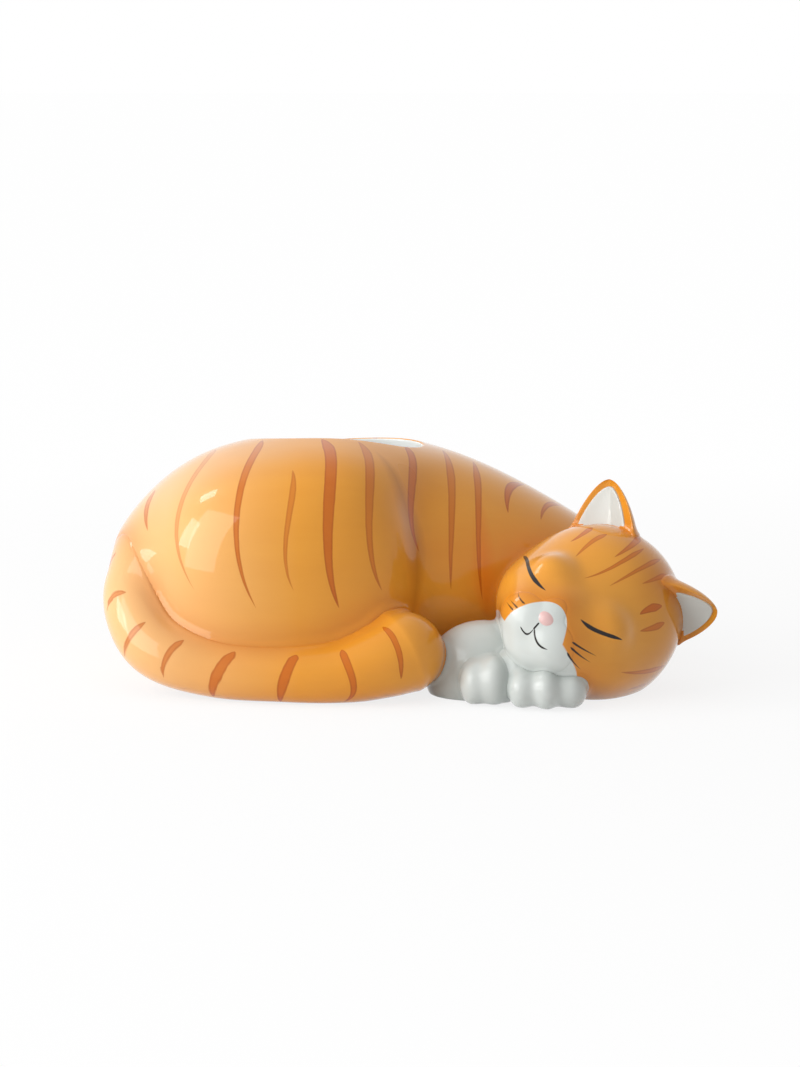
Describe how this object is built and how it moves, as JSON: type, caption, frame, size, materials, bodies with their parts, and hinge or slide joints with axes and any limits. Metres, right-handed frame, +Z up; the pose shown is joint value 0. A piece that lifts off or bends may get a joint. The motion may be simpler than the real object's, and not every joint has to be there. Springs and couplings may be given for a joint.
{
  "type": "cat planter",
  "caption": "Sleeping tabby cat in glazed ceramic, curled on the ground, with an oval planting mouth open in its back.",
  "frame": {"origin": "on the ground under the middle of the whole cat", "axes": "+X from the rump to the head, -Y the side that the face, paws and tail are on, +Z up"},
  "size_m": [0.2503, 0.1646, 0.1002],
  "materials": {
    "orange_glaze": "glossy amber glaze over white ceramic",
    "white_glaze": "glossy white glaze",
    "pink_glaze": "glossy pale pink glaze"
  },
  "bodies": {
    "root": {"body_shell": "orange_glaze", "tail": "orange_glaze", "head_shell": "orange_glaze", "muzzle": "white_glaze", "nose": "pink_glaze", "ear_right": "orange_glaze", "ear_left": "orange_glaze", "ear_lining_right": "white_glaze", "ear_lining_left": "white_glaze", "chest": "white_glaze", "forepaw_right": "white_glaze", "forepaw_left": "white_glaze"}
  },
  "joints": []
}
